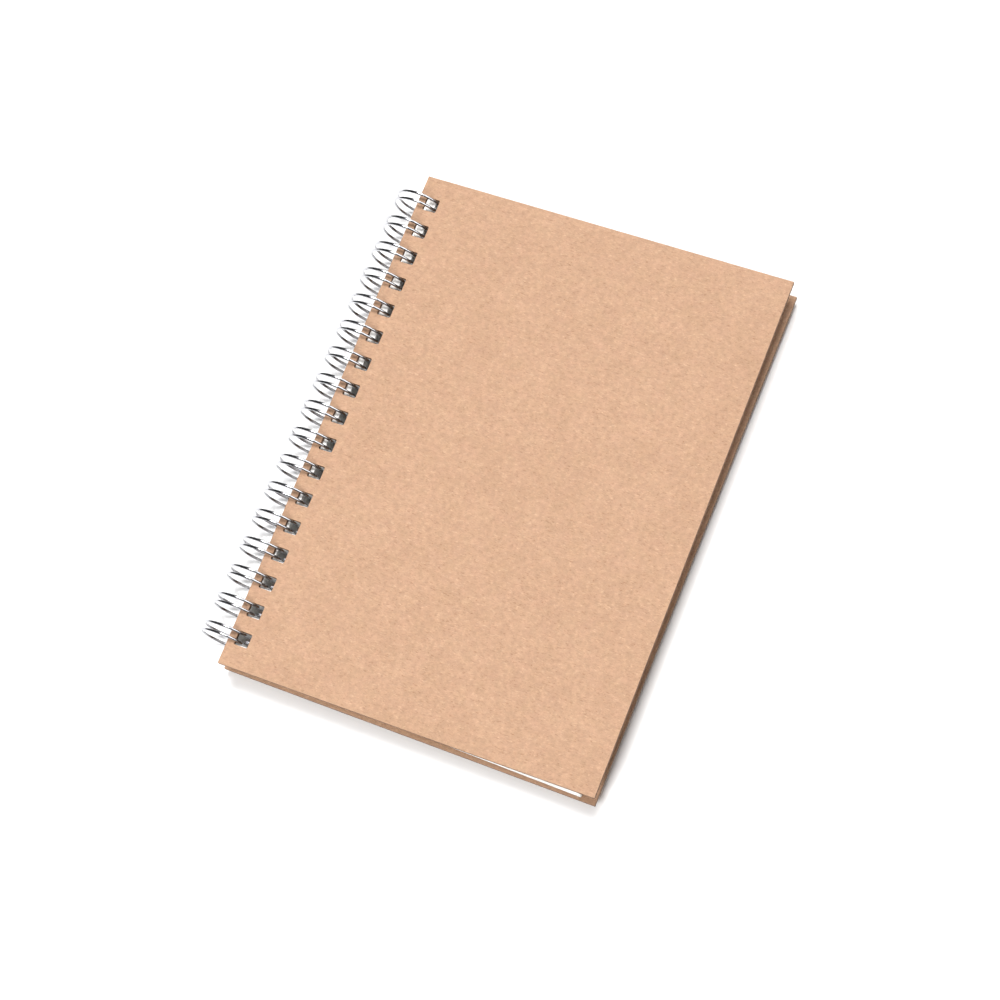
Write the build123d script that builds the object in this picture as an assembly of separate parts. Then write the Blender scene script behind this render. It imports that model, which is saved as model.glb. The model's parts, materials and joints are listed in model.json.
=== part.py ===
from build123d import *
import math
import os

# Board and paper sizes, in millimetres
cover_length = 152.0
cover_width = 110.0
board_thickness = 1.2
book_thickness = 10.0
sheet_length = 148.0
sheet_width = 105.0
gap_under_front_board = 0.1

# Square holes, three to the inch
hole_count = 17
hole_pitch = 25.4 / 3
hole_side = 4.0
hole_corner_radius = 0.4
hole_from_spine_edge = 4.15

# Double wire, bent into loops
wire_diameter = 0.85
loop_radius = 7.25
pair_spacing = 2.35
root_bend_radius = 0.8
tip_to_root_gap = 0.3
bridge_height = -3.2
bridge_to_page_gap = 0.025

# How boards and sheets hang on the loops, from the line through the loops' centres:
# offset to the fore-edge, rise to the head, and skew in degrees
front_cover_offset = 1.5
front_cover_rise = -0.3
front_cover_skew = 0.7
back_cover_offset = 1.2
back_cover_rise = 0.25
back_cover_skew = 0.15
page_offset = 2.8
page_rise = 0.3
page_skew = -0.45

half_book = book_thickness / 2
half_pair = pair_spacing / 2
wire_radius = wire_diameter / 2


def punched_sheet(length, width, thickness):
    """A flat sheet with its spine edge on the Y axis and its row of holes."""
    outline = Pos(width / 2, 0) * Rectangle(width, length)
    hole = RectangleRounded(hole_side, hole_side, hole_corner_radius)
    row = Pos(hole_from_spine_edge, 0) * GridLocations(0, hole_pitch, 1, hole_count)
    punched = outline - [place * hole for place in row]
    return extrude(punched, thickness)


def front_cover():
    board = punched_sheet(cover_length, cover_width, board_thickness)
    board = Pos(front_cover_offset, 0, half_book - board_thickness) * board
    return Pos(0, front_cover_rise, 0) * Rot(0, 0, front_cover_skew) * board


def back_cover():
    board = punched_sheet(cover_length, cover_width, board_thickness)
    board = Pos(back_cover_offset, 0, -half_book) * board
    return Pos(0, back_cover_rise, 0) * Rot(0, 0, back_cover_skew) * board


def page_block():
    top = half_book - board_thickness - gap_under_front_board
    bottom = bridge_height + wire_radius + bridge_to_page_gap
    sheets = punched_sheet(sheet_length, sheet_width, top - bottom)
    sheets = Pos(page_offset, 0, bottom) * sheets
    return Pos(0, page_rise, 0) * Rot(0, 0, page_skew) * sheets


def loop_plane(angle):
    """A plane touching the loops at an angle, with x along the spine and y round the loop."""
    turn = math.radians(angle)
    outward = (math.cos(turn), 0, math.sin(turn))
    middle = (loop_radius * outward[0], 0, loop_radius * outward[2])
    return Plane(origin=middle, x_dir=(0, 1, 0), z_dir=outward)


def bend(radius, start, sweep, centre):
    """A bent piece of wire lying in the XY plane."""
    section = Plane.XZ * Pos(radius, 0) * Circle(wire_radius)
    arc = revolve(section, Axis.Z, revolution_arc=sweep)
    return Pos(centre, 0) * Rot(0, 0, start) * arc


def root_angle():
    """Where the legs leave the root, so that the bridges lie at bridge_height."""
    reach = math.hypot(loop_radius, root_bend_radius)
    lead = math.atan2(root_bend_radius, loop_radius)
    return math.degrees(math.asin(bridge_height / reach) - lead)


def tip_angle():
    """Where the closed tip starts, just past the line of the bridges."""
    bridge_angle = root_angle() + math.degrees(root_bend_radius / loop_radius)
    return bridge_angle + math.degrees((tip_to_root_gap + half_pair) / loop_radius)


def leg(y):
    """One wire of a loop, from the root right round to the tip."""
    section = Pos(loop_radius, 0, 0) * Circle(wire_radius)
    arc = revolve(section, Axis.Y, revolution_arc=360 - (tip_angle() - root_angle()))
    return Pos(0, y, 0) * Rot(0, -root_angle(), 0) * arc


def half_bridge(y, side):
    """A bend at a loop's root and the straight wire from it halfway to the next loop."""
    reach = half_pair + root_bend_radius
    section = Plane.YZ * Circle(wire_radius)
    straight = Pos(reach, root_bend_radius, 0) * extrude(section, hole_pitch / 2 - reach)
    turned = Rot(0, 0, 0) if side > 0 else Rot(0, 180, 0)
    place = Pos(0, y, 0) * loop_plane(root_angle()).location * turned
    return [place * bend(root_bend_radius, 90, 90, reach), place * straight]


def twin_loop_wire():
    """The whole wire, cut halfway along a bridge at each end of the row."""
    rows = [hole_pitch * (i - (hole_count - 1) / 2) for i in range(hole_count)]
    closed_tip = loop_plane(tip_angle()).location * bend(half_pair, 180, 180, 0)
    pieces = []
    for y in rows:
        pieces += [leg(y - half_pair), leg(y + half_pair), Pos(0, y, 0) * closed_tip]
        pieces += half_bridge(y, 1) + half_bridge(y, -1)
    return pieces[0].fuse(*pieces[1:])


def to_shared_frame(shape):
    """Moves a piece so that the notebook's box stands on the origin."""
    turn = math.radians(front_cover_skew)
    half_length = cover_length / 2 * math.cos(turn)
    cover_reach = front_cover_offset + cover_width
    right = cover_reach * math.cos(turn) + cover_length / 2 * math.sin(turn)
    left = -(loop_radius + wire_radius)
    head = front_cover_rise + cover_reach * math.sin(turn) + half_length
    foot = front_cover_rise + front_cover_offset * math.sin(turn) - half_length
    return Pos(-(left + right) / 2, -(foot + head) / 2, loop_radius + wire_radius) * shape


os.makedirs("parts", exist_ok=True)
nodes = {
    "front_cover": front_cover(),
    "back_cover": back_cover(),
    "page_block": page_block(),
    "twin_loop_wire": twin_loop_wire(),
}
for name, shape in nodes.items():
    placed = to_shared_frame(shape)
    print(name, len(placed.solids()), round(placed.volume, 1), placed.bounding_box())
    export_step(placed, f"parts/{name}.step")
axis = to_shared_frame(Vertex(0, 0, 0)).center()
print("loop axis at", axis)
print("root angle", root_angle(), "tip angle", tip_angle())
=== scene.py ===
import bpy
import json
import math
from mathutils import Euler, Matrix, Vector


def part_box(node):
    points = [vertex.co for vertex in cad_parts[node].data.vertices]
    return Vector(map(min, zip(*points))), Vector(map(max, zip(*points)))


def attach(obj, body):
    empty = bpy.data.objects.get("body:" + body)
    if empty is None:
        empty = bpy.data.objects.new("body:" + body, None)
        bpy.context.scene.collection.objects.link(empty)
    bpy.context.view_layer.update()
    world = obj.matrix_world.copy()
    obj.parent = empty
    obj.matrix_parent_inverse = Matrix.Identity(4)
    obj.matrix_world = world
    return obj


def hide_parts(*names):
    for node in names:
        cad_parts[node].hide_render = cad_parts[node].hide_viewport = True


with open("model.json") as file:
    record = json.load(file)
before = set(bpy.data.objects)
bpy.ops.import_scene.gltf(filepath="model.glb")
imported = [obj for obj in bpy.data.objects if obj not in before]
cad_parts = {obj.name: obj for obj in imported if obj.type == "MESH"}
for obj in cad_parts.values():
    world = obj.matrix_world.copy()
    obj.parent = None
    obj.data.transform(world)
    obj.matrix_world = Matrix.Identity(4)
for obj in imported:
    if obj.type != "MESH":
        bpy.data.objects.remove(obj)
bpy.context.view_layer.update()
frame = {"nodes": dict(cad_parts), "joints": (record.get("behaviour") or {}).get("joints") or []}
nodes = frame["nodes"]
hinge = next(j for j in frame["joints"] if j["name"] == "front_cover_hinge")
loopAxis = Vector(hinge["pos_m"])
mm = 0.001
print("frame loaded:", sorted(nodes))


def colour(hexCode):
    # sRGB hex to the linear values that shaders want
    parts = [int(hexCode[i:i + 2], 16) / 255 for i in (0, 2, 4)]
    return [p / 12.92 if p <= 0.04045 else ((p + 0.055) / 1.055) ** 2.4 for p in parts] + [1.0]


def addNode(tree, kind, settings=None, **links):
    # links: socket names, with _ for a space, or in0, in1 ... for a socket's number
    node = tree.nodes.new(kind)
    for name, value in (settings or {}).items():
        setattr(node, name, value)
    for name, value in links.items():
        key = int(name[2:]) if name[:2] == "in" and name[2:].isdigit() else name.replace("_", " ")
        if isinstance(value, bpy.types.NodeSocket):
            tree.links.new(value, node.inputs[key])
        else:
            node.inputs[key].default_value = value
    return node


def newTree(name, numbers):
    # a Geometry Nodes tree with one named input for each size
    tree = bpy.data.node_groups.new(name, "GeometryNodeTree")
    tree.interface.new_socket("Geometry", in_out="INPUT", socket_type="NodeSocketGeometry")
    tree.interface.new_socket("Geometry", in_out="OUTPUT", socket_type="NodeSocketGeometry")
    for label, value in numbers.items():
        kind = "NodeSocketInt" if isinstance(value, int) else "NodeSocketFloat"
        tree.interface.new_socket(label, in_out="INPUT", socket_type=kind)
    return tree, tree.nodes.new("NodeGroupInput"), tree.nodes.new("NodeGroupOutput")


def finishTree(tree, output, geometry, material):
    real = addNode(tree, "GeometryNodeRealizeInstances", Geometry=geometry)
    painted = addNode(tree, "GeometryNodeSetMaterial", Geometry=real.outputs[0], Material=material)
    tree.links.new(painted.outputs[0], output.inputs[0])


def growMesh(name, base, tree, numbers, bevel=None):
    # runs the tree on the base data and keeps the result as a plain mesh
    host = bpy.data.objects.new(name + "Host", base)
    bpy.context.scene.collection.objects.link(host)
    grow = host.modifiers.new("grow", "NODES")
    grow.node_group = tree
    for item in tree.interface.items_tree:
        if item.in_out == "INPUT" and item.name in numbers:
            grow[item.identifier] = numbers[item.name]
    if bevel:
        soft = host.modifiers.new("soft edges", "BEVEL")
        soft.width = bevel
        soft.segments = 2
        soft.limit_method = "ANGLE"
        soft.angle_limit = math.radians(50)
    bpy.context.view_layer.update()
    shown = host.evaluated_get(bpy.context.evaluated_depsgraph_get())
    mesh = bpy.data.meshes.new_from_object(shown)
    mesh.name = name
    bpy.data.objects.remove(host)
    piece = bpy.data.objects.new(name, mesh)
    bpy.context.scene.collection.objects.link(piece)
    print(name, "has", sum(len(p.vertices) - 2 for p in mesh.polygons), "triangles")
    return piece


kraft = {
    "fibreLength": 1.1,  # millimetres
    "fibreWidth": 0.32,  # real fibres are finer, drawn wide enough to show
    "cloud": 9.0,  # soft patches of light and dark
    "hueCloud": 4.0,  # and of pink and straw
    "fleck": 0.8,
    "fleckTone": "8A6246",
    "fibres": [  # direction in degrees, colour and strength of each family of fibres
        (12, "fibreDark", 0.5),
        (58, "fibrePale", 0.5),
        (104, "fibreDark", 0.45),
        (151, "fibrePale", 0.5),
        (80, "fibreDark", 0.4),
    ],
    "grit": 1.2,  # mottling of the liner, coarser than real grit so that it shows
    "face": "AF8D73",
    "pale": "B49278",
    "dark": "AA886E",
    "rosy": "B48D77",
    "straw": "AD8E70",
    "fibreDark": "8A644B",
    "fibrePale": "CAAA8E",
    "core": "8F735D",
    "coreDark": "705642",
}


def kraftBoard(name):
    # brown kraft lining on grey board: warm, dull, with short crossed fibres and small flecks
    mat = bpy.data.materials.new(name)
    mat.use_nodes = True
    tree = mat.node_tree
    tree.nodes.clear()
    place = addNode(tree, "ShaderNodeTexCoord")
    point = place.outputs["Object"]

    cloud = addNode(
        tree, "ShaderNodeTexNoise", Vector=point, Scale=1 / (kraft["cloud"] * mm), Detail=5.0,
        Roughness=0.55
    )
    ground = addNode(tree, "ShaderNodeValToRGB", Fac=cloud.outputs["Fac"])
    ground.color_ramp.elements[0].position = 0.36
    ground.color_ramp.elements[0].color = colour(kraft["dark"])
    ground.color_ramp.elements[1].position = 0.66
    ground.color_ramp.elements[1].color = colour(kraft["pale"])
    middle = ground.color_ramp.elements.new(0.5)
    middle.color = colour(kraft["face"])
    drift = addNode(
        tree, "ShaderNodeTexNoise", Vector=point, Scale=1 / (kraft["hueCloud"] * mm), Detail=3.0
    )
    hue = addNode(
        tree, "ShaderNodeMix", {"data_type": "RGBA"}, in0=drift.outputs["Fac"],
        in6=colour(kraft["rosy"]), in7=colour(kraft["straw"])
    )
    tone = addNode(
        tree, "ShaderNodeMix", {"data_type": "RGBA"}, in0=0.6, in6=ground.outputs["Color"],
        in7=hue.outputs[2]
    ).outputs[2]

    relief = None
    for i, (turn, hexCode, share) in enumerate(kraft["fibres"]):
        # one family of short fibres: noise drawn out along its own direction
        along, across = 1 / (kraft["fibreLength"] * mm), 1 / (kraft["fibreWidth"] * mm)
        lean = addNode(
            tree, "ShaderNodeMapping", Vector=point, Location=(0.013 * i, 0.007 * i, 0.0),
            Rotation=(0.0, 0.0, math.radians(turn)), Scale=(along, across, across)
        )
        strand = addNode(
            tree, "ShaderNodeTexNoise", Vector=lean.outputs[0], Scale=1.0, Detail=2.0,
            Roughness=0.5, Distortion=0.6
        )
        keep = addNode(
            tree, "ShaderNodeMapRange", Value=strand.outputs["Fac"], From_Min=0.6, From_Max=0.74,
            To_Max=share
        )
        mixed = addNode(
            tree, "ShaderNodeMix", {"data_type": "RGBA"}, in0=keep.outputs[0], in6=tone,
            in7=colour(kraft[hexCode])
        )
        tone = mixed.outputs[2]
        if relief is None:
            relief = keep.outputs[0]
        else:
            relief = addNode(
                tree, "ShaderNodeMath", {"operation": "ADD"}, in0=relief, in1=keep.outputs[0]
            ).outputs[0]

    flecks = addNode(tree, "ShaderNodeTexVoronoi", Vector=point, Scale=1 / (kraft["fleck"] * mm))
    nearCell = addNode(
        tree, "ShaderNodeMapRange", Value=flecks.outputs["Distance"], From_Min=0.22, From_Max=0.12
    )
    chosen = addNode(tree, "ShaderNodeSeparateColor", Color=flecks.outputs["Color"])
    few = addNode(tree, "ShaderNodeMath", {"operation": "GREATER_THAN"}, in0=chosen.outputs[0], in1=0.9)
    fleck = addNode(
        tree, "ShaderNodeMath", {"operation": "MULTIPLY"}, in0=nearCell.outputs[0],
        in1=few.outputs[0]
    )
    fleckShare = addNode(tree, "ShaderNodeMath", {"operation": "MULTIPLY"}, in0=fleck.outputs[0], in1=0.5)
    tone = addNode(
        tree, "ShaderNodeMix", {"data_type": "RGBA"}, in0=fleckShare.outputs[0], in6=tone,
        in7=colour(kraft["fleckTone"])
    ).outputs[2]

    grit = addNode(
        tree, "ShaderNodeTexNoise", Vector=point, Scale=1 / (kraft["grit"] * mm), Detail=4.0,
        Roughness=0.65
    )
    shade = addNode(
        tree, "ShaderNodeMapRange", Value=grit.outputs["Fac"], From_Min=0.3, From_Max=0.7,
        To_Min=0.88, To_Max=1.12
    )
    tone = addNode(
        tree, "ShaderNodeMix", {"data_type": "RGBA", "blend_type": "MULTIPLY"}, in0=1.0, in6=tone,
        in7=shade.outputs[0]
    ).outputs[2]

    # the cut edges show the grey-brown core in thin layers
    facing = addNode(tree, "ShaderNodeSeparateXYZ", Vector=place.outputs["Normal"])
    upright = addNode(tree, "ShaderNodeMath", {"operation": "ABSOLUTE"}, in0=facing.outputs["Z"])
    isEdge = addNode(tree, "ShaderNodeMapRange", Value=upright.outputs[0], From_Min=0.75, From_Max=0.4)
    layers = addNode(tree, "ShaderNodeMapping", Vector=point, Scale=(400, 400, 9000))
    ply = addNode(tree, "ShaderNodeTexNoise", Vector=layers.outputs[0], Scale=1.0, Detail=3.0)
    core = addNode(
        tree, "ShaderNodeMix", {"data_type": "RGBA"}, in0=ply.outputs["Fac"],
        in6=colour(kraft["coreDark"]), in7=colour(kraft["core"])
    )
    tone = addNode(
        tree, "ShaderNodeMix", {"data_type": "RGBA"}, in0=isEdge.outputs[0], in6=tone,
        in7=core.outputs[2]
    ).outputs[2]

    height = addNode(
        tree, "ShaderNodeMath", {"operation": "MULTIPLY_ADD"}, in0=relief, in1=0.5,
        in2=grit.outputs["Fac"]
    )
    bump = addNode(tree, "ShaderNodeBump", Height=height.outputs[0], Strength=0.35, Distance=0.00006)
    rough = addNode(tree, "ShaderNodeMapRange", Value=grit.outputs["Fac"], To_Min=0.72, To_Max=0.92)
    skin = addNode(
        tree, "ShaderNodeBsdfPrincipled", Base_Color=tone, Roughness=rough.outputs[0],
        Normal=bump.outputs[0], IOR=1.45, Specular_IOR_Level=0.3
    )
    addNode(tree, "ShaderNodeOutputMaterial", Surface=skin.outputs[0])
    return mat


def whitePaper(name):
    # uncoated wood-free paper, trimmed in a pile: white, matt, each sheet a hair off its neighbour's tone
    mat = bpy.data.materials.new(name)
    mat.use_nodes = True
    tree = mat.node_tree
    tree.nodes.clear()
    place = addNode(tree, "ShaderNodeTexCoord")
    point = place.outputs["Object"]
    leaf = addNode(tree, "ShaderNodeMapping", Vector=point, Scale=(60, 60, 10000))
    sheet = addNode(tree, "ShaderNodeTexNoise", Vector=leaf.outputs[0], Scale=1.0, Detail=1.0)
    tint = addNode(
        tree, "ShaderNodeMix", {"data_type": "RGBA"}, in0=sheet.outputs["Fac"],
        in6=colour("F3F1ED"), in7=colour("FDFDFB")
    )
    tooth = addNode(
        tree, "ShaderNodeTexNoise", Vector=point, Scale=1 / (0.25 * mm), Detail=4.0, Roughness=0.6
    )
    bump = addNode(tree, "ShaderNodeBump", Height=tooth.outputs["Fac"], Strength=0.2, Distance=0.00003)
    skin = addNode(
        tree, "ShaderNodeBsdfPrincipled", Base_Color=tint.outputs[2], Roughness=0.9,
        Normal=bump.outputs[0], IOR=1.45, Specular_IOR_Level=0.2
    )
    addNode(tree, "ShaderNodeOutputMaterial", Surface=skin.outputs[0])
    return mat


def tinnedWire(name):
    # bright tinned steel wire: a clean mirror line along each loop, softened by the drawing marks
    mat = bpy.data.materials.new(name)
    mat.use_nodes = True
    tree = mat.node_tree
    tree.nodes.clear()
    place = addNode(tree, "ShaderNodeTexCoord")
    point = place.outputs["Object"]
    haze = addNode(tree, "ShaderNodeTexNoise", Vector=point, Scale=1 / (3.0 * mm), Detail=4.0)
    rough = addNode(
        tree, "ShaderNodeMapRange", Value=haze.outputs["Fac"], From_Min=0.3, From_Max=0.7,
        To_Min=0.1, To_Max=0.18
    )
    tint = addNode(
        tree, "ShaderNodeMix", {"data_type": "RGBA"}, in0=haze.outputs["Fac"], in6=colour("BDBDC1"),
        in7=colour("CBCBCE")
    )
    marks = addNode(tree, "ShaderNodeTexNoise", Vector=point, Scale=1 / (0.12 * mm), Detail=3.0)
    bump = addNode(tree, "ShaderNodeBump", Height=marks.outputs["Fac"], Strength=0.08, Distance=0.00002)
    skin = addNode(
        tree, "ShaderNodeBsdfPrincipled", Base_Color=tint.outputs[2], Metallic=1.0,
        Roughness=rough.outputs[0], Normal=bump.outputs[0]
    )
    addNode(tree, "ShaderNodeOutputMaterial", Surface=skin.outputs[0])
    return mat


frontKraft = kraftBoard("kraftBoardFront")
backKraft = kraftBoard("kraftBoardBack")
paper = whitePaper("woodFreePaper")
wireMetal = tinnedWire("tinnedSteelWire")
print("materials made")


punching = {
    "Hole Count": 17,
    "Hole Pitch": 25.4 / 3 * mm,
    "Hole Side": 4.0 * mm,
    "Hole Corner": 0.4 * mm,
    "Hole Inset": 4.15 * mm,  # hole centres from the spine edge
}
board = {
    **punching,
    "Length": 152.0 * mm,
    "Width": 110.0 * mm,
    "Thickness": 1.2 * mm,
    "Arch": 0.0 * mm,  # how far the fore-edge rises in its middle, 0 for a flat board
}
hanging = {  # offset to the fore-edge and rise to the head in millimetres, skew in degrees
    "front": (1.5, -0.3, 0.7),
    "back": (1.2, 0.25, 0.15),
    "pages": (2.8, 0.3, -0.45),
}


def holeOutlines(tree, sizes):
    # rounded square outlines in a row, one for each loop
    square = addNode(
        tree, "GeometryNodeCurvePrimitiveQuadrilateral", Width=sizes["Hole Side"],
        Height=sizes["Hole Side"]
    )
    rounded = addNode(
        tree, "GeometryNodeFilletCurve", {"mode": "POLY"}, in0=square.outputs[0], in1=3,
        in2=sizes["Hole Corner"]
    )
    span = addNode(tree, "ShaderNodeMath", {"operation": "SUBTRACT"}, in0=sizes["Hole Count"], in1=1.0)
    half = addNode(tree, "ShaderNodeMath", {"operation": "MULTIPLY"}, in0=span.outputs[0], in1=-0.5)
    first = addNode(
        tree, "ShaderNodeMath", {"operation": "MULTIPLY"}, in0=half.outputs[0],
        in1=sizes["Hole Pitch"]
    )
    start = addNode(tree, "ShaderNodeCombineXYZ", X=sizes["Hole Inset"], Y=first.outputs[0])
    step = addNode(tree, "ShaderNodeCombineXYZ", Y=sizes["Hole Pitch"])
    row = addNode(
        tree, "GeometryNodeMeshLine", Count=sizes["Hole Count"], Start_Location=start.outputs[0],
        Offset=step.outputs[0]
    )
    return addNode(
        tree, "GeometryNodeInstanceOnPoints", Points=row.outputs[0], Instance=rounded.outputs[0]
    ).outputs[0]


def punchedBoardTree(material):
    tree, given, output = newTree("punchedBoard", board)
    sizes = given.outputs
    slab = addNode(tree, "ShaderNodeCombineXYZ", X=sizes["Width"], Y=sizes["Length"], Z=sizes["Thickness"])
    block = addNode(
        tree, "GeometryNodeMeshCube", Size=slab.outputs[0], Vertices_X=23, Vertices_Y=33,
        Vertices_Z=2
    )
    halfWidth = addNode(tree, "ShaderNodeMath", {"operation": "MULTIPLY"}, in0=sizes["Width"], in1=0.5)
    halfThick = addNode(tree, "ShaderNodeMath", {"operation": "MULTIPLY"}, in0=sizes["Thickness"], in1=0.5)
    shift = addNode(tree, "ShaderNodeCombineXYZ", X=halfWidth.outputs[0], Z=halfThick.outputs[0])
    laid = addNode(tree, "GeometryNodeSetPosition", Geometry=block.outputs[0], Offset=shift.outputs[0])
    outlines = addNode(tree, "GeometryNodeRealizeInstances", Geometry=holeOutlines(tree, sizes))
    discs = addNode(tree, "GeometryNodeFillCurve", {"mode": "NGONS"}, Curve=outlines.outputs[0])
    deep = addNode(tree, "ShaderNodeMath", {"operation": "MULTIPLY"}, in0=sizes["Thickness"], in1=3.0)
    punches = addNode(
        tree, "GeometryNodeExtrudeMesh", Mesh=discs.outputs[0], Offset=(0, 0, 1),
        Offset_Scale=deep.outputs[0], Individual=False
    )
    turned = addNode(tree, "GeometryNodeFlipFaces", Mesh=discs.outputs[0])
    closed = addNode(tree, "GeometryNodeJoinGeometry")
    tree.links.new(punches.outputs[0], closed.inputs[0])
    tree.links.new(turned.outputs[0], closed.inputs[0])
    solid = addNode(tree, "GeometryNodeMergeByDistance", Geometry=closed.outputs[0], Distance=0.000001)
    lower = addNode(tree, "ShaderNodeCombineXYZ", Z=-0.001)
    through = addNode(tree, "GeometryNodeSetPosition", Geometry=solid.outputs[0], Offset=lower.outputs[0])
    cut = addNode(
        tree, "GeometryNodeMeshBoolean", {"operation": "DIFFERENCE", "solver": "EXACT"},
        Mesh_1=laid.outputs[0], Mesh_2=through.outputs[0]
    )

    # the free edge can take a slight arch, and the spine edge stays straight on the wire
    where = addNode(
        tree, "ShaderNodeSeparateXYZ", Vector=addNode(tree, "GeometryNodeInputPosition").outputs[0]
    )
    along = addNode(
        tree, "ShaderNodeMath", {"operation": "DIVIDE"}, in0=where.outputs["Y"], in1=sizes["Length"]
    )
    bend = addNode(
        tree, "ShaderNodeMath", {"operation": "MULTIPLY"}, in0=along.outputs[0],
        in1=along.outputs[0]
    )
    rise = addNode(
        tree, "ShaderNodeMath", {"operation": "MULTIPLY_ADD"}, in0=bend.outputs[0], in1=-4.0,
        in2=1.0
    )
    across = addNode(
        tree, "ShaderNodeMath", {"operation": "DIVIDE"}, in0=where.outputs["X"], in1=sizes["Width"]
    )
    share = addNode(
        tree, "ShaderNodeMath", {"operation": "MULTIPLY"}, in0=rise.outputs[0],
        in1=across.outputs[0]
    )
    lift = addNode(
        tree, "ShaderNodeMath", {"operation": "MULTIPLY"}, in0=share.outputs[0], in1=sizes["Arch"]
    )
    up = addNode(tree, "ShaderNodeCombineXYZ", Z=lift.outputs[0])
    arched = addNode(tree, "GeometryNodeSetPosition", Geometry=cut.outputs[0], Offset=up.outputs[0])
    finishTree(tree, output, arched.outputs[0], material)
    return tree


def hang(piece, offset, rise, skew, bottom):
    # puts a flat piece on the loops
    turn = Euler((0, 0, math.radians(skew))).to_matrix()
    spineEdge = Vector((loopAxis.x, loopAxis.y + rise * mm, bottom))
    for v in piece.data.vertices:
        v.co = turn @ (v.co + Vector((offset * mm, 0, 0))) + spineEdge


def makeBoard(name, node, material, place):
    piece = growMesh(
        name, bpy.data.meshes.new(name + "Base"), punchedBoardTree(material), board, bevel=0.12 * mm
    )
    hang(piece, *place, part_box(node)[0][2])
    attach(piece, "front_board" if node == "front_cover" else "back_board")
    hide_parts(node)
    return piece


frontBoard = makeBoard("kraftFrontCover", "front_cover", frontKraft, hanging["front"])
backBoard = makeBoard("kraftBackCover", "back_cover", backKraft, hanging["back"])


leaves = {
    **punching,
    "Length": 148.0 * mm,
    "Width": 105.0 * mm,
    "Sheet Count": 62,
    "Sheet Thickness": 0.098 * mm,
    "Stack Height": 6.43 * mm,  # at the loops
    "Fore-edge Sag": 0.95 * mm,  # the lowest sheet's free edge lies this much lower
    "Slip": 0.14 * mm,
    "Seed": 4,
}


def sheetPileTree(material):
    tree, given, output = newTree("sheetPile", leaves)
    sizes = given.outputs
    outer = addNode(
        tree, "GeometryNodeCurvePrimitiveQuadrilateral", Width=sizes["Width"],
        Height=sizes["Length"]
    )
    halfWidth = addNode(tree, "ShaderNodeMath", {"operation": "MULTIPLY"}, in0=sizes["Width"], in1=0.5)
    shift = addNode(tree, "ShaderNodeCombineXYZ", X=halfWidth.outputs[0])
    edge = addNode(tree, "GeometryNodeSetPosition", Geometry=outer.outputs[0], Offset=shift.outputs[0])
    both = addNode(tree, "GeometryNodeJoinGeometry")
    tree.links.new(edge.outputs[0], both.inputs[0])
    tree.links.new(
        addNode(tree, "GeometryNodeRealizeInstances", Geometry=holeOutlines(tree, sizes)).outputs[0],
        both.inputs[0]
    )
    flat = addNode(tree, "GeometryNodeFillCurve", {"mode": "TRIANGLES"}, Curve=both.outputs[0])
    thick = addNode(
        tree, "GeometryNodeExtrudeMesh", Mesh=flat.outputs[0], Offset=(0, 0, 1),
        Offset_Scale=sizes["Sheet Thickness"], Individual=False
    )
    under = addNode(tree, "GeometryNodeFlipFaces", Mesh=flat.outputs[0])
    faces = addNode(tree, "GeometryNodeJoinGeometry")
    tree.links.new(thick.outputs[0], faces.inputs[0])
    tree.links.new(under.outputs[0], faces.inputs[0])
    sheet = addNode(tree, "GeometryNodeMergeByDistance", Geometry=faces.outputs[0], Distance=0.000001)

    climb = addNode(
        tree, "ShaderNodeMath", {"operation": "DIVIDE"}, in0=sizes["Stack Height"],
        in1=sizes["Sheet Count"]
    )
    step = addNode(tree, "ShaderNodeCombineXYZ", Z=climb.outputs[0])
    pile = addNode(
        tree, "GeometryNodeMeshLine", Count=sizes["Sheet Count"], Start_Location=(0, 0, 0),
        Offset=step.outputs[0]
    )
    least = addNode(tree, "ShaderNodeMath", {"operation": "MULTIPLY"}, in0=sizes["Slip"], in1=-1.0)
    low = addNode(tree, "ShaderNodeCombineXYZ", X=least.outputs[0], Y=least.outputs[0])
    high = addNode(tree, "ShaderNodeCombineXYZ", X=sizes["Slip"], Y=sizes["Slip"])
    slip = addNode(
        tree, "FunctionNodeRandomValue", {"data_type": "FLOAT_VECTOR"}, in0=low.outputs[0],
        in1=high.outputs[0], Seed=sizes["Seed"]
    )
    loose = addNode(tree, "GeometryNodeSetPosition", Geometry=pile.outputs[0], Offset=slip.outputs[0])
    order = addNode(tree, "GeometryNodeInputIndex")
    last = addNode(tree, "ShaderNodeMath", {"operation": "SUBTRACT"}, in0=sizes["Sheet Count"], in1=1.0)
    place = addNode(
        tree, "ShaderNodeMath", {"operation": "DIVIDE"}, in0=order.outputs[0], in1=last.outputs[0]
    )
    depth = addNode(tree, "ShaderNodeMath", {"operation": "SUBTRACT"}, in0=1.0, in1=place.outputs[0])
    slope = addNode(
        tree, "ShaderNodeMath", {"operation": "DIVIDE"}, in0=sizes["Fore-edge Sag"],
        in1=sizes["Width"]
    )
    tip = addNode(
        tree, "ShaderNodeMath", {"operation": "MULTIPLY"}, in0=slope.outputs[0],
        in1=depth.outputs[0]
    )
    lean = addNode(tree, "ShaderNodeCombineXYZ", Y=tip.outputs[0])
    stack = addNode(
        tree, "GeometryNodeInstanceOnPoints", Points=loose.outputs[0], Instance=sheet.outputs[0],
        Rotation=lean.outputs[0]
    )
    finishTree(tree, output, stack.outputs[0], material)
    return tree


pages = growMesh("whitePages", bpy.data.meshes.new("whitePagesBase"), sheetPileTree(paper), leaves)
hang(pages, *hanging["pages"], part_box("page_block")[0][2] + 0.01 * mm)
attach(pages, "binding")
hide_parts("page_block")


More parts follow.
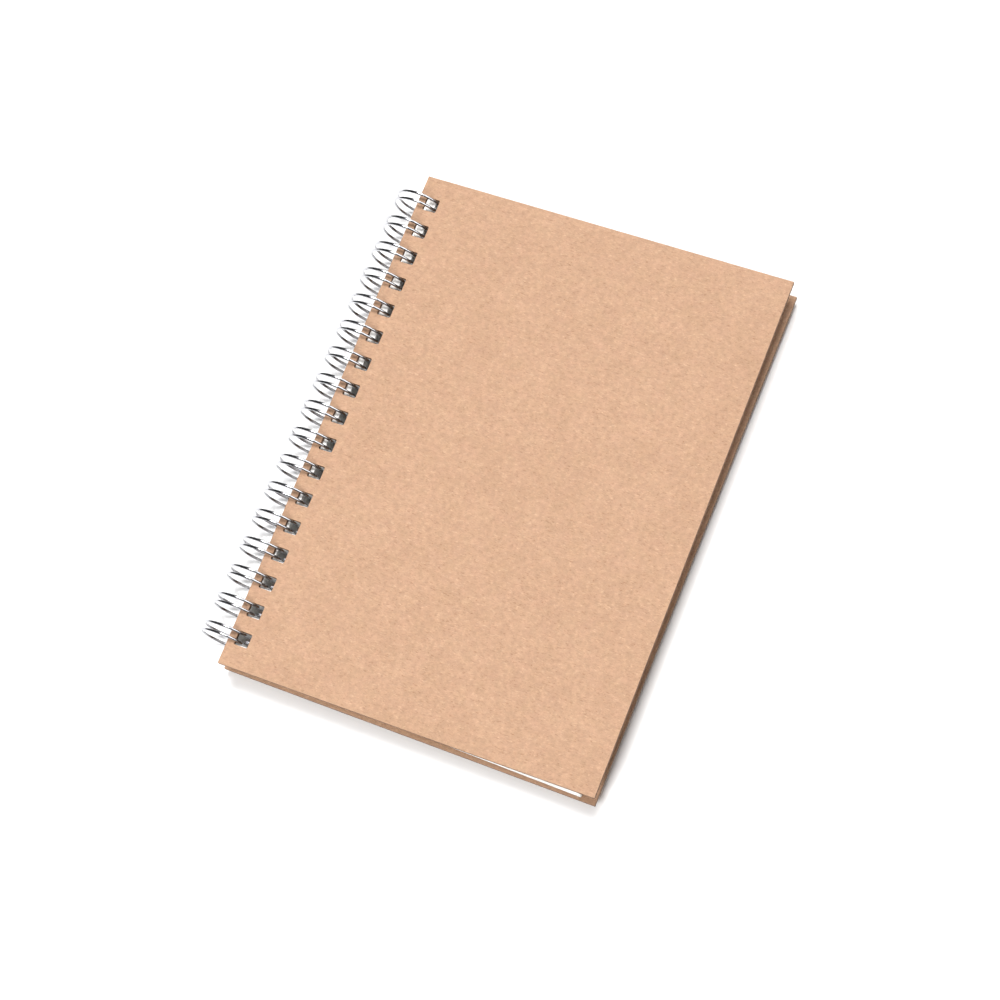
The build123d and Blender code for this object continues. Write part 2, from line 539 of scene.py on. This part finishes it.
wire = {
    "Loop Count": 17,
    "Loop Pitch": 25.4 / 3 * mm,
    "Wire Diameter": 0.85 * mm,
    "Sides": 12,
}
hairpin = {
    "loopRadius": 7.25,  # millimetres, as are the rest
    "pairSpacing": 2.35,
    "rootBend": 0.8,
    "bridgeHeight": -3.2,
    "tipGap": 0.3,
}


def hairpinPath():
    # one loop from the middle of a bridge to the middle of the next, seen from the loops' axis
    r, half, bend = hairpin["loopRadius"], hairpin["pairSpacing"] / 2, hairpin["rootBend"]
    pitch = wire["Loop Pitch"] / mm
    root = math.asin(hairpin["bridgeHeight"] / math.hypot(r, bend)) - math.atan2(bend, r)
    tip = root + bend / r + (hairpin["tipGap"] + half) / r

    def onPlane(angle, along, around):
        # a point of the plane that touches the loops at an angle
        outward = Vector((math.cos(angle), 0, math.sin(angle)))
        onward = Vector((-math.sin(angle), 0, math.cos(angle)))
        return r * outward + around * onward + Vector((0, along, 0))

    side = [onPlane(root, -pitch / 2 + s * (pitch / 2 - half - bend), bend) for s in (0.0, 0.5)]
    for k in range(7):
        a = math.pi / 2 * k / 6
        side.append(onPlane(root, -half - bend + bend * math.sin(a), bend * math.cos(a)))
    turns = 84
    for k in range(1, turns):
        a = root - (2 * math.pi - tip + root) * k / turns
        side.append(Vector((r * math.cos(a), -half, r * math.sin(a))))
    halfTurn = [math.pi * k / 12 for k in range(13)]
    closedTip = [onPlane(tip, -half * math.cos(a), -half * math.sin(a)) for a in halfTurn]
    other = [Vector((p.x, -p.y, p.z)) for p in reversed(side)]
    return side + closedTip + other


def loopRowTree(material):
    tree, given, output = newTree("loopRow", wire)
    sizes = given.outputs
    span = addNode(tree, "ShaderNodeMath", {"operation": "SUBTRACT"}, in0=sizes["Loop Count"], in1=1.0)
    half = addNode(tree, "ShaderNodeMath", {"operation": "MULTIPLY"}, in0=span.outputs[0], in1=-0.5)
    first = addNode(
        tree, "ShaderNodeMath", {"operation": "MULTIPLY"}, in0=half.outputs[0],
        in1=sizes["Loop Pitch"]
    )
    start = addNode(tree, "ShaderNodeCombineXYZ", Y=first.outputs[0])
    step = addNode(tree, "ShaderNodeCombineXYZ", Y=sizes["Loop Pitch"])
    row = addNode(
        tree, "GeometryNodeMeshLine", Count=sizes["Loop Count"], Start_Location=start.outputs[0],
        Offset=step.outputs[0]
    )
    loops = addNode(
        tree, "GeometryNodeInstanceOnPoints", Points=row.outputs[0],
        Instance=given.outputs["Geometry"]
    )
    real = addNode(tree, "GeometryNodeRealizeInstances", Geometry=loops.outputs[0])
    radius = addNode(tree, "ShaderNodeMath", {"operation": "MULTIPLY"}, in0=sizes["Wire Diameter"], in1=0.5)
    section = addNode(
        tree, "GeometryNodeCurvePrimitiveCircle", Resolution=sizes["Sides"],
        Radius=radius.outputs[0]
    )
    tube = addNode(
        tree, "GeometryNodeCurveToMesh", Curve=real.outputs[0], Profile_Curve=section.outputs[0],
        Fill_Caps=True
    )
    smooth = addNode(tree, "GeometryNodeSetShadeSmooth", Geometry=tube.outputs[0])
    finishTree(tree, output, smooth.outputs[0], material)
    return tree


path = bpy.data.curves.new("hairpinBase", "CURVE")
path.dimensions = "3D"
line = path.splines.new("POLY")
points = hairpinPath()
line.points.add(len(points) - 1)
for spot, p in zip(line.points, points):
    spot.co = (p.x * mm, p.y * mm, p.z * mm, 1)
loops = growMesh("twinLoopWire", path, loopRowTree(wireMetal), wire)
for v in loops.data.vertices:
    v.co += loopAxis
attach(loops, "binding")
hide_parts("twin_loop_wire")
print("pieces made")


def matt(name, hexCode):
    # smooth white lacquered table top, kept plain
    mat = bpy.data.materials.new(name)
    mat.use_nodes = True
    skin = mat.node_tree.nodes["Principled BSDF"]
    skin.inputs["Base Color"].default_value = colour(hexCode)
    skin.inputs["Roughness"].default_value = 0.8
    return mat


floorMesh = bpy.data.meshes.new("floor")
floorMesh.from_pydata([(-3, -3, 0), (3, -3, 0), (3, 3, 0), (-3, 3, 0)], [], [(0, 1, 2, 3)])
floor = bpy.data.objects.new("floor", floorMesh)
floor.data.materials.append(matt("whiteTable", "F8F8F8"))
bpy.context.scene.collection.objects.link(floor)

lamps = {
    "head": {"place": (-0.05, 0.4, 1.35), "size": 0.5, "power": 17.0},
    "back": {"place": (0.1, 1.1, 0.75), "size": 0.9, "power": 5.0},
    "top": {"place": (0.0, 0.15, 1.5), "size": 1.0, "power": 5.0},
    "card": {
        "place": (0.75, 0.3, 0.95), "size": 0.9, "power": 8.0, "lights": False
    },  # seen only in the wire
    "foot": {
        "place": (-0.15, -0.8, 0.9), "size": 0.6, "power": 12.0, "mirrored": False
    },  # fills the foot, unseen in the wire
}
for name, lamp in lamps.items():
    light = bpy.data.lights.new(name, "AREA")
    light.size, light.energy = lamp["size"], lamp["power"]
    holder = bpy.data.objects.new(name, light)
    holder.location = lamp["place"]
    holder.rotation_euler = (-Vector(lamp["place"])).to_track_quat("-Z", "Y").to_euler()
    holder.visible_glossy = lamp.get("mirrored", True)
    holder.visible_diffuse = lamp.get("lights", True)
    bpy.context.scene.collection.objects.link(holder)

world = bpy.data.worlds.new("studio")
world.use_nodes = True
world.node_tree.nodes["Background"].inputs["Color"].default_value = (1, 1, 1, 1)
world.node_tree.nodes["Background"].inputs["Strength"].default_value = 0.05
bpy.context.scene.world = world
bpy.context.scene.view_settings.view_transform = "Standard"

camera = bpy.data.cameras.new("camera")
camera.sensor_width, camera.lens = 36, 87.58
eye = bpy.data.objects.new("camera", camera)
eye.location = (0.188713, -0.168829, 0.623391)
eye.rotation_euler = [math.radians(a) for a in (19.4271, 9.9746, 22.6387)]
bpy.context.scene.collection.objects.link(eye)
bpy.context.scene.camera = eye

print("stage set")
